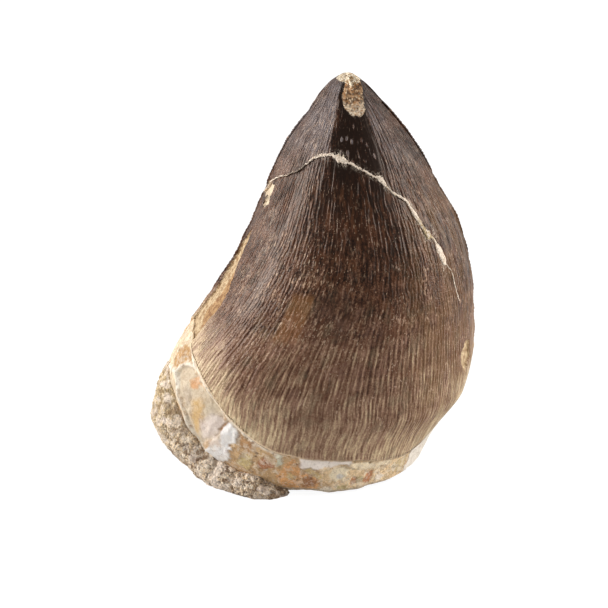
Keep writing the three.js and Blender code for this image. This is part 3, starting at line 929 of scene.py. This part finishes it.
# Outlines of the stained places, as (degrees, height), each with its colour, how far it stands out,
# and how soft its edge is. Each is laid over the last.
PLACES = [
    ([(180, 20), (198, 17.5), (210, 15.5), (204, 12.5), (200, 8), (206, 5), (192, 4), (176, 12)],
     (222, 200, 164), 0.0, 0.6),
    ([(190.5, 13.6), (190, 15), (195, 16), (202.3, 15.7), (207.6, 15.1), (208.5, 14.5), (204.5, 14.2),
      (201, 13.5), (197.5, 12.8)], (184, 140, 82), -0.05, 0.3),
    ([(200.5, 12.3), (201.2, 13.2), (204, 13.9), (210.5, 14.2), (217.5, 13.4), (227, 11.4), (234.5, 8.8),
      (230.8, 7.7), (227.5, 6.4), (222.8, 5.7), (216.2, 4.9), (210, 4.4), (208.6, 6.8), (205.5, 9),
      (202, 10.7)], (205, 186, 158), -0.3, 0.4),
    ([(210.5, 12.6), (213.5, 13.5), (218.4, 13.3), (219.6, 12.6), (216.3, 12), (212, 11.8)],
     (208, 156, 108), 0.0, 0.35),
    ([(204.5, 11.2), (211.3, 11.6), (213, 10.4), (208.5, 8.9), (205.5, 9.9)], (190, 171, 147), 0.0, 0.4),
    ([(217.5, 10.9), (222, 11.1), (222.8, 10.1), (219.5, 9.4)], (192, 168, 134), 0.0, 0.35),
    ([(212.4, 10.1), (219, 11), (221.6, 10.2), (220.3, 8.6), (216.6, 6.6), (212.6, 6), (210.4, 7.8)],
     (202, 166, 110), 0.0, 0.8),
    ([(218, 7.8), (224.8, 9.3), (230.8, 9.4), (232.8, 8.8), (228.8, 7.2), (223.5, 6.1), (216.5, 5.4)],
     (216, 200, 188), 0.04, 0.9),
    ([(229.5, 7.6), (233.2, 8.9), (235.6, 8.8), (231.5, 7.4)], (162, 121, 76), -0.05, 0.25),
    ([(239, 8), (243.2, 7.7), (249, 7), (254.7, 6.5), (262, 5.8), (270, 4), (275, 2.5), (268, 0), (240, 0),
      (232, 1), (230.5, 3.2), (235.3, 5.6)], (205, 168, 121), 0.05, 0.3),
    ([(239.8, 7.6), (245.5, 7.3), (248.5, 6.1), (244, 5.5), (239.5, 6.2)], (192, 145, 95), 0.0, 0.35),
    ([(241, 5.2), (244.8, 5), (245.5, 4), (238, 2.6), (235.8, 3.5)], (212, 190, 134), 0.0, 0.35),
    ([(247.5, 4.8), (250.8, 5.1), (254, 4.5), (253.8, 3.7), (248.5, 3.1), (245, 3.3)],
     (179, 119, 80), 0.0, 0.35),
    ([(255.8, 5.5), (258.5, 5.9), (259.7, 5), (257.8, 4.2), (255.8, 4.2)], (211, 209, 183), 0.08, 0.2),
    ([(254.5, 2.8), (258.5, 4.1), (262.2, 5.2), (264.6, 5.6), (265.5, 4.1), (267, 3.3), (270, 3.4),
      (272.5, 2.8), (275.2, 1.9), (271.2, 0.7), (266.5, 0.8), (260.5, 0.5), (252.6, 0.8)],
     (226, 168, 108), -0.05, 0.3),
    ([(274, 5.4), (284, 5.2), (300, 5), (322, 4.6), (322, 0.4), (300, 0.4), (280, 0.4), (274, 2)],
     (243, 212, 166), 0.0, 0.7),
    ([(266, 2.4), (270, 2.9), (274, 2), (270, 1.2), (264, 1.2)], (173, 121, 80), 0.0, 0.35),
    ([(258.5, 2.9), (261.2, 3.3), (263.2, 2.8), (260.5, 2.1), (258.2, 2.4)], (220, 186, 130), 0.0, 0.25),
    ([(223.8, 5.8), (229.5, 6.8), (230.8, 7.5), (235, 9), (239, 8.1), (238.8, 6.6), (235.5, 5.9),
      (233.5, 4.8), (229, 3.4), (221, 2.6), (215, 2.9), (217, 4.4)], (228, 224, 220), 0.14, 0.16),
    ([(217.5, 4.8), (225, 6.2), (231, 7), (230, 5.7), (223, 4.5)], (216, 198, 182), 0.0, 0.6),
    ([(264.6, 5.7), (270, 5.5), (277, 5.1), (284, 4.9), (289.5, 4.7), (288.8, 4), (283, 4.2), (278.5, 3.9),
      (274.4, 3.7), (271, 4), (267.6, 3.6), (266.2, 4.4)], (255, 242, 230), 0.1, 0.3),
    ([(266.8, 3.7), (271, 3.8), (274.8, 3.4), (276.2, 2.4), (272.5, 2.7), (270, 3.3)],
     (207, 177, 121), 0.0, 0.2),
    ([(278.5, 3.1), (282.2, 3.8), (286, 4.2), (288.6, 3.5), (289, 2.6), (285, 1.8), (282, 1.9), (279, 2.2)],
     (248, 230, 196), 0.1, 0.25),
    ([(282, 3), (285, 3.1), (286.5, 2.5), (284, 2.1), (281.5, 2.3)], (216, 207, 194), -0.04, 0.15),
    ([(289, 4.1), (293, 4.1), (298.2, 4), (303.8, 3.9), (310.6, 3.7), (309.5, 2.8), (301.5, 2.9),
      (293.5, 3.3), (289.6, 3.5)], (252, 231, 194), 0.14, 0.3),
    ([(290, 2.8), (293, 2.4), (292.4, 1.5), (289.4, 1.3)], (194, 136, 91), -0.05, 0.3),
    ([(293.3, 2.5), (297, 2.4), (297, 1.5), (293.6, 1.4)], (220, 198, 140), 0.0, 0.25),
    ([(297.3, 2.8), (301.5, 2.6), (302.5, 1.8), (299.5, 1), (297, 1.3)], (197, 132, 89), -0.05, 0.3),
    ([(303, 2.3), (308.2, 2), (309.4, 1.4), (306.2, 0.9), (302.8, 1.3)], (246, 229, 209), 0.05, 0.25),
    ([(272.2, 1.2), (276.2, 1.6), (279.5, 1.6), (278.4, 0.5), (273.5, 0.3), (268.5, 0.5)],
     (240, 224, 200), 0.05, 0.25),
    ([(281.2, 1.4), (287.8, 1.4), (287.5, 0.7), (281.8, 0.7)], (207, 188, 136), 0.0, 0.25),
    ([(314, 3), (321.5, 3.1), (327, 3.4), (324, 0.9), (314, 1.6)], (212, 186, 140), 0.0, 0.4),
    ([(333, 5.9), (327, 3.6), (324, 1.4), (324, 0), (350, 0), (356, 8), (346, 10), (338, 7)],
     (233, 223, 209), 0.05, 0.2),
]
# White shell-like rims, as lines of (degrees, height)
RIMS = [
    [(187.2, 12.6), (193, 12.5), (198.8, 12.8), (199.8, 13.6), (202.5, 14.1), (206.8, 14.4), (211, 14.4)],
    [(199, 12.8), (201.2, 11.7), (201.6, 10.7), (204, 9), (207.6, 6.9), (211, 4.9), (214.5, 3.8)],
]
RIM_WIDTH = 0.28
RIM_HEIGHT = 0.2
PIT_SPACING = 0.75
PIT_DEPTH = 0.16
PIT_SHARE = 0.38  # of the places where a pit could be
UNDERSIDE_RINGS = 39
UNDERSIDE_MIDDLE = np.array([1.5, 0.5, 0.0])
CORE_DEPTH = 0.9  # how far the sand-filled middle of the underside lies in


def line_distance(degrees, height, line, closed):
    """Millimetres from the skin's points to the nearest stretch of a line of (degrees, height). Inside
    a closed line it is less than 0: a level line drawn right from there crosses it an odd number of
    times."""
    x, y = degrees * DEGREE, height
    starts = np.array(line) * [DEGREE, 1]
    ends = np.roll(starts, -1, axis=0) if closed else starts[1:]
    nearest = np.full(x.shape, 99.0)
    inside = np.zeros(x.shape, bool)
    for (ax, ay), (bx, by) in zip(starts, ends):
        dx, dy = bx - ax, by - ay
        share = np.clip(((x - ax) * dx + (y - ay) * dy) / (dx**2 + dy**2), 0, 1)
        nearest = np.minimum(nearest, np.hypot(x - ax - share * dx, y - ay - share * dy))
        if closed and dy:
            inside ^= ((ay > y) != (by > y)) & (x < ax + (y - ay) / dy * dx)
    return np.where(inside, -nearest, nearest)


def stained(stain, colour, mask):
    """The skin's colours with another laid over them where the mask is 1."""
    return stain + mask[..., None] * (tint(*colour)[:3] - stain)


spread = columns_round(ROOT_COLUMNS)
angle = spread - COLUMN_DRIFT * np.sin(2 * spread)
brink = smooth_through(ENAMEL_EDGE, np.degrees(angle) % 360)
share = np.linspace(0, 1, ROOT_ROWS)[:, None]
lower_rim = 0.35 + noises(flow(spread, 0, 1), (0.3, 3.4, 40), (0.16, 1.2, 39))
height = np.maximum(lower_rim, 0.05) + (brink + 0.6) * share
angle = np.broadcast_to(angle, height.shape)
degrees = np.degrees(angle)
surface = form(angle, height, -ENAMEL)
warp = noises(surface, (0.3, 1.3, 51), (0.25, 0.5, 52), (0.14, 0.24, 53))
broad = 0.5 * noise(surface, 5, 54)
mixed = noises(surface, (1, 1.9, 55), (0.5, 0.9, 56))
# a cream ground with paler, orange and greyish patches
stain = np.broadcast_to(tint(224, 200, 162)[:3], surface.shape)
stain = stained(stain, (230, 212, 184), smooth_step(0.1, 0.6, broad + mixed))
stain = stained(stain, (200, 162, 118), 0.8 * smooth_step(-0.7, -0.2, broad - mixed))
stain = stained(stain, (222, 214, 204), smooth_step(0.7, 1.0, broad + mixed))
# the stained places, with brown joints round them; the whitest and the most sunken are smooth
relief = noises(surface, (0.16, 2.6, 42), (0.1, 1.1, 43), (0.07, 0.5, 44))
smooth_place = 0 * height
for outline, colour, stand, soft in PLACES:
    way = line_distance(degrees, height, outline, True) + warp
    mask = smooth_step(0.65 * soft, -0.65 * soft, way)
    joint = 0.5 * np.exp(-((way / 0.11) ** 2)) * smooth_step(-0.2, 0.4, mixed)
    stain = stained(stained(stain, colour, mask), (120, 84, 52), joint)
    relief = relief + stand * mask
    if colour[2] > 195 or stand < -0.2:
        smooth_place = np.maximum(smooth_place, mask)
# the white rims, and one more under the enamel's edge at the front left
front_left = smooth_within(degrees, 200, 208, 250, 262)
rims = [(line_distance(degrees, height, line, False), 1) for line in RIMS]
rims.append((np.abs(brink - 0.25 - height), front_left))
for way, strength in rims:
    mask = np.exp(-((np.maximum(way + 0.4 * warp, 0) / RIM_WIDTH) ** 2)) * strength
    stain = stained(stain, (244, 234, 216), 0.9 * mask)
    relief = relief + RIM_HEIGHT * mask
# painted highlight: a thin pale line along the lowest edge, the floor's reflection
stain = stained(stain, (228, 214, 190), 0.7 * smooth_step(0.12, 0.02, share + 0.02 * warp))
pit_distance, pit_draw = grains(surface, PIT_SPACING, 45)
pits = smooth_step(0.24, 0.12, pit_distance) * (pit_draw > 1 - PIT_SHARE) * (1 - 0.6 * smooth_place)
stain = stained(stain, (92, 62, 40), 0.55 * pits)
relief = relief - PIT_DEPTH * pits
tuck = smooth_step(0.14, 0.0, share)  # the lower rim is broken back and rounded
under_enamel = smooth_step(-0.15, 0.25, height - brink)
relief = relief * (1 - under_enamel) * smooth_step(1.15, 0.8, share)
relief = relief - 0.14 * under_enamel - 0.5 * tuck**2
surface = form(angle, height, -ENAMEL + relief)
# rings over the rough underside, out from its hollow middle to the rim
out = np.linspace(0, 1, UNDERSIDE_RINGS + 1)[:-1, None]
across = surface[0] * [1, 1, 0] - UNDERSIDE_MIDDLE
across = UNDERSIDE_MIDDLE + across * (0.06 + 0.925 * out)[..., None]
hollow = smooth_step(0.52, 0.36, out + 0.1 * noise(across, 3.5, 46))
broken = np.maximum(0.3 + noises(across, (0.35, 2.2, 47), (0.22, 0.9, 48), (0.12, 0.4, 49)), 0)
broken = broken + (surface[0][:, 2] - broken) * smooth_step(0.9, 1.0, out) + CORE_DEPTH * hollow
across[..., 2] = broken
top_in = UNDERSIDE_MIDDLE + (surface[-1] - UNDERSIDE_MIDDLE) * [0.8, 0.8, 1.0]  # inside the crown
dentine_root = closed_skin("dentine_root", np.concatenate([across, surface, top_in[None]]))
under_stain = np.array(tint(196, 170, 134)[:3]) * (1 + 0.3 * noise(across, 1.5, 57))[..., None]
under_stain = under_stain + smooth_step(0.8, 1, out)[..., None] * (stain[0] - under_stain)
stain = np.concatenate([under_stain, stain, stain[-1:]])
whole = np.concatenate([stain[0].mean(axis=0), stain.ravel(), stain[-1].mean(axis=0)]).reshape(-1, 3)
whole = np.concatenate([whole, np.ones((len(whole), 1))], axis=1)
attribute = dentine_root.data.attributes.new("stain", "FLOAT_COLOR", "POINT")
attribute.data.foreach_set("color", whole.ravel().astype(np.float32))
paint(dentine_root, "calm", np.concatenate([0 * hollow, smooth_place, 0 * height[:1]]))
paint(dentine_root, "core", np.concatenate([hollow, 0 * height, 0 * height[:1]]))

dentine, tree = new_material("stained dentine")
place = millimetres(tree)
colour = put(tree, "ShaderNodeAttribute", attribute_name="stain")[0]
blue = put(tree, "ShaderNodeSeparateColor", {0: colour})[2]
mottled = 1.0 - 0.6 * own(tree, "calm")
dirty = (0.65 * between(blue, 0.68, 0.4) + 0.35) * mottled
broad, fine = cloud(place, 0.9, 5.0, 0.65), cloud(place, 4.0, 4.0, 0.75)
colour = layer(colour, tint(172, 116, 66), 0.35 * between(broad, 0.54, 0.72) * dirty)
colour = layer(colour, tint(240, 230, 212), 0.42 * between(fine, 0.52, 0.68) * mottled)
colour = layer(colour, tint(112, 76, 46), 0.5 * between(fine, 0.46, 0.3) * dirty)
# the bone splits into small angular flakes, some paler and some browner, with dark joints
_, sway = put(tree, "ShaderNodeTexNoise", {"Vector": place, "Scale": 1.6, "Detail": 2.0})
wavy = {0: sway, 1: (0.9, 0.9, 0.9), 2: place}
wavy = put(tree, "ShaderNodeVectorMath", wavy, operation="MULTIPLY_ADD")[0]
for scale, share in ((1.5, 0.26), (3.2, 0.24)):
    _, first_draw, second_draw = cells(wavy, scale)
    pale = 0.32 * maths("GREATER_THAN", first_draw, 1 - share) * mottled
    colour = layer(colour, tint(238, 226, 206), pale)
    brown = 0.24 * maths("LESS_THAN", second_draw, share) * dirty
    colour = layer(colour, tint(138, 98, 62), brown)
joint = put(tree, "ShaderNodeTexVoronoi", {"Vector": wavy, "Scale": 1.5}, feature="DISTANCE_TO_EDGE")[0]
joint = between(joint, 0.06, 0.0) * between(fine, 0.4, 0.6) * mottled
colour = layer(colour, tint(104, 74, 46), 0.34 * joint)
# thin rusty veins
vein = effect(fine_lines, place, scale=0.8, detail=4.0, roughness=0.7, width=0.016)[0]
vein = vein * between(cloud(place, 0.3, 2.0), 0.42, 0.6)
colour = layer(colour, tint(140, 86, 46), 0.6 * vein)
# coarse sand fills the hollow in the underside
core = own(tree, "core")
core_colour, core_height = effect(cemented_sand, place, grain_size=0.45)
colour = layer(colour, core_colour, core)
finish_material(colour, 0.7, fine + core_height * core, 0.12)
dentine_root.data.materials.append(dentine)
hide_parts("tooth")
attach(dentine_root, BODY)


# ---- Sandstone crust ---------------------------------------------------------------------------
# What is left of the rock that the tooth lay in: coarse sand, cemented to the lower left of the
# root from the front round to the back. It is loose-grained, pale tan, with dark and white grains.

CRUST_TOP = [
    [94, 0.6], [104, 4], [125, 7.5], [150, 11], [172, 12.4], [182, 12.2], [190, 11.4], [197, 9.8],
    [206, 6.6], [213, 4.2], [221, 3.0], [234, 2.3], [246, 1.5], [253, 0.6],
]
CRUST_THICKNESS = [
    [94, 0.4], [110, 2], [150, 3.4], [180, 3.7], [215, 3.6], [235, 3.2], [245, 2.4], [253, 0.4],
]
CRUST_SLICES = 560
CRUST_POINTS = 150
CRUST_SEAT = -ENAMEL - 0.45  # sunk into the root
SAND_GRAIN = 0.42
SAND_LUMP = 1.05
CRUST_OUTSIDE = 0.72  # share of a slice's points that go up its outside; the rest go down its inside

degrees = np.linspace(CRUST_TOP[0][0], CRUST_TOP[-1][0], CRUST_SLICES)
angle = np.radians(degrees)
top = smooth_through(CRUST_TOP, degrees) + noises(flow(angle, 0, 1), (0.45, 1.4, 61), (0.2, 0.5, 62))
top = np.maximum(top, 0.4)
thickness = smooth_through(CRUST_THICKNESS, degrees)
turn = np.linspace(0, 1, CRUST_POINTS)[:, None]
going_up = turn < CRUST_OUTSIDE
up = np.clip(turn / CRUST_OUTSIDE, 0, 1)
down = np.clip((turn - CRUST_OUTSIDE) / (1 - CRUST_OUTSIDE), 0, 1)
height = np.where(going_up, top * np.sin(up * pi / 2), top * (1 - down))
bulge = np.sin(np.clip(1 - height / top, 0, 1) * pi / 2) ** 1.1
lump = 0.35 * np.sin(9 * angle + 0.8 * height) * np.cos(0.9 * height + 1.3)  # slow swellings
proud = np.where(going_up, 0.25 - ENAMEL + (thickness + lump) * bulge, CRUST_SEAT)
surface = form(angle, height, proud)
distance, draw = grains(surface, SAND_GRAIN, 63)
bent = surface + 0.3 * np.stack([noise(surface, 0.7, seed) for seed in (68, 69, 70)], axis=-1)
lump_distance, lump_draw = grains(bent, SAND_LUMP, 64)
rough = 0.22 * (0.5 - distance) + 0.24 * (0.5 - lump_distance) * (lump_draw > 0.55)
rough = rough + noises(surface, (0.25, 2.6, 65), (0.16, 1.1, 66), (0.08, 0.5, 67))
surface = form(angle, height, proud + np.where(going_up, rough, 0))
surface[..., 2] = np.maximum(surface[..., 2], 0)
sandstone_crust = closed_skin("sandstone_crust", np.swapaxes(surface, 0, 1)[::-1])
for name, values in (
    ("grain", draw), ("crevice", distance), ("lump", lump_draw), ("gap", lump_distance),
):
    paint(sandstone_crust, name, np.swapaxes(values, 0, 1)[::-1])

sandstone, tree = new_material("cemented sand")
place = millimetres(tree)
grain, lump = own(tree, "grain"), own(tree, "lump")
colour, relief = effect(
    cemented_sand, place, grain_size=0.19, base=tint(238, 208, 170), dark_share=0.24,
    light_share=0.28,
)
colour = layer(colour, tint(92, 62, 40), 0.75 * between(grain, 0.2, 0.12))
colour = layer(colour, tint(246, 228, 206), 0.75 * between(grain, 0.68, 0.76))
# an olive stain up its left side, and broad brown and pale patches
right, _, upper = put(tree, "ShaderNodeSeparateXYZ", {0: place})
colour = layer(colour, tint(186, 158, 100), 0.5 * between(upper - 0.5 * right, 9, 19))
patches = cloud(place, 0.5, 4.0, 0.75)
colour = layer(colour, tint(112, 82, 56), 0.5 * between(patches, 0.53, 0.63))
colour = layer(colour, tint(247, 228, 208), 0.65 * between(patches, 0.5, 0.38))
# brown and pale lumps, with dark crevices between lumps and between grains
colour = layer(colour, tint(126, 98, 70), 0.45 * between(lump, 0.22, 0.18))
colour = layer(colour, tint(244, 228, 216), 0.35 * between(lump, 0.72, 0.76))
crevice = 0.36 * between(own(tree, "crevice"), 0.52, 0.8)
crevice = highest(crevice, 0.22 * between(own(tree, "gap"), 0.5, 0.75))
colour = layer(colour, tint(90, 66, 46), crevice)
finish_material(colour, 0.9, relief, 0.14)
sandstone_crust.data.materials.append(sandstone)
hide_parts("matrix_crust")
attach(sandstone_crust, BODY)


# ---- Floor, lights and camera ------------------------------------------------------------------
# A plain white floor in a dim white surround. Two large soft lights stand at the sides, so that the
# middle of the face between them stays dark, with a weaker pair behind and one high up behind.

REACH = 3.0
FLOOR_GLOW = 1.12
FLOOR_GLOW_SHARE = 0.84  # of what the camera sees of the floor; the object sees plain white
corners = [(-REACH, -REACH, 0), (REACH, -REACH, 0), (REACH, REACH, 0), (-REACH, REACH, 0)]
floor_mesh = bpy.data.meshes.new("floor")
floor_mesh.from_pydata(corners, [], [(0, 1, 2, 3)])
floor = bpy.data.objects.new("floor", floor_mesh)
bpy.context.scene.collection.objects.link(floor)
paper, tree = new_material("white paper")
matt_white = put(tree, "ShaderNodeBsdfDiffuse", {"Color": tint(222, 222, 222)})[0]
glow = put(tree, "ShaderNodeEmission", {"Strength": FLOOR_GLOW})[0]
seen = FLOOR_GLOW_SHARE * put(tree, "ShaderNodeLightPath")[0]  # its Is Camera Ray output
shader = put(tree, "ShaderNodeMixShader", {0: seen, 1: matt_white, 2: glow})[0]
put(tree, "ShaderNodeOutputMaterial", {"Surface": shader})
floor_mesh.materials.append(paper)

SUBJECT = Vector((0, 0, 0.022))
# [azimuth from the camera's side, elevation, distance, width, power in watts]
LIGHTS = [
    [-96, 24, 0.5, 0.36, 3.4],
    [94, 24, 0.5, 0.36, 2.9],
    [-150, 35, 0.6, 0.4, 0.6],
    [150, 35, 0.6, 0.4, 0.6],
    [180, 70, 0.7, 0.4, 0.8],
]
for number, (azimuth, elevation, distance, width, power) in enumerate(LIGHTS):
    azimuth, elevation = radians(azimuth), radians(elevation)
    aim = Vector((sin(azimuth) * cos(elevation), -cos(azimuth) * cos(elevation), sin(elevation)))
    lamp = bpy.data.lights.new(f"softbox_{number}", "AREA")
    lamp.size = width
    lamp.energy = power
    holder = bpy.data.objects.new(lamp.name, lamp)
    holder.location = SUBJECT + aim * distance
    holder.rotation_euler = aim.to_track_quat("Z", "Y").to_euler()
    bpy.context.scene.collection.objects.link(holder)

SURROUND = 0.26  # brightness of the white surround
world = bpy.data.worlds.new("studio")
world.use_nodes = True
world.node_tree.nodes["Background"].inputs["Color"].default_value = (1, 1, 1, 1)
world.node_tree.nodes["Background"].inputs["Strength"].default_value = SURROUND
bpy.context.scene.world = world
bpy.context.scene.view_settings.view_transform = "Standard"

CAMERA_TARGET = Vector((-0.79, 0.5, 20.0)) * MM
CAMERA_DISTANCE = 0.37073
CAMERA_TILT = radians(20)
lens = bpy.data.cameras.new("camera")
lens.lens = 180
lens.sensor_width = 36
lens.clip_start = 0.01
camera = bpy.data.objects.new("camera", lens)
camera.location = CAMERA_TARGET + Vector((0, -cos(CAMERA_TILT), sin(CAMERA_TILT))) * CAMERA_DISTANCE
camera.rotation_euler = (pi / 2 - CAMERA_TILT, 0, 0)
bpy.context.scene.collection.objects.link(camera)
bpy.context.scene.camera = camera
